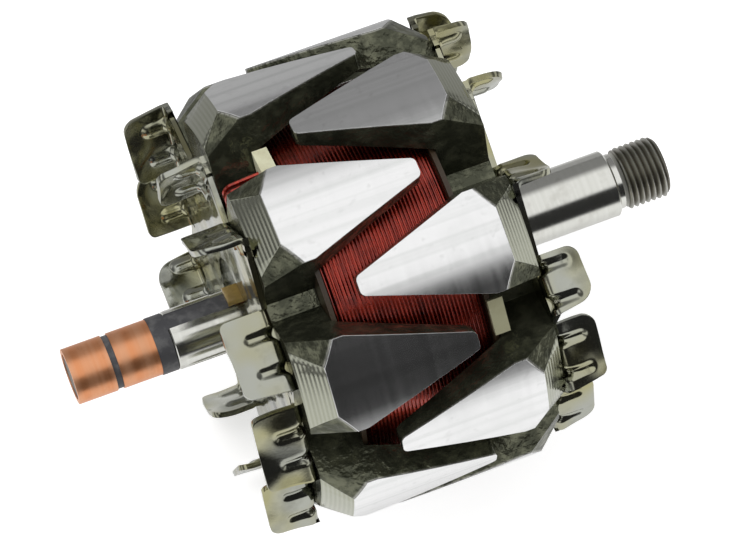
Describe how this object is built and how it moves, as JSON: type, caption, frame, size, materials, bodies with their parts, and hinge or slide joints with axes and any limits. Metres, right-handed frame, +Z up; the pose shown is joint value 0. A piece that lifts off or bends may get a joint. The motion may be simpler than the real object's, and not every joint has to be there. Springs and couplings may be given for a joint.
{
  "type": "alternator rotor",
  "caption": "Claw-pole rotor for a vehicle alternator: shaft, two claw pole halves, field winding, two cooling fans and slip rings.",
  "frame": {"origin": "on the shaft axis at the middle of the overall length", "axes": "+X along the shaft towards the threaded drive end, +Z up through a claw of the rear pole half"},
  "size_m": [0.1558, 0.113, 0.113],
  "materials": {
    "machined_steel": "turned bright steel on the claw faces, dark forged skin on their sides",
    "shaft_steel": "ground and polished",
    "fan_sheet": "plated pressed sheet, glossy with a warm tint",
    "bobbin_plastic": "natural cream moulding",
    "winding_copper": "red enamelled wire",
    "ring_copper": "turned bright copper",
    "carrier_plastic": "dark grey moulding",
    "resin": "amber resin"
  },
  "bodies": {
    "root": {"shaft": "shaft_steel", "rear_pole_half": "machined_steel", "front_pole_half": "machined_steel", "winding_bobbin": "bobbin_plastic", "field_winding": "winding_copper", "winding_start_lead": "winding_copper", "winding_finish_lead": "winding_copper", "lead_resin": "resin", "slip_ring_carrier": "carrier_plastic", "inner_slip_ring": "ring_copper", "outer_slip_ring": "ring_copper", "rear_fan": "fan_sheet", "front_fan": "fan_sheet"}
  },
  "joints": []
}
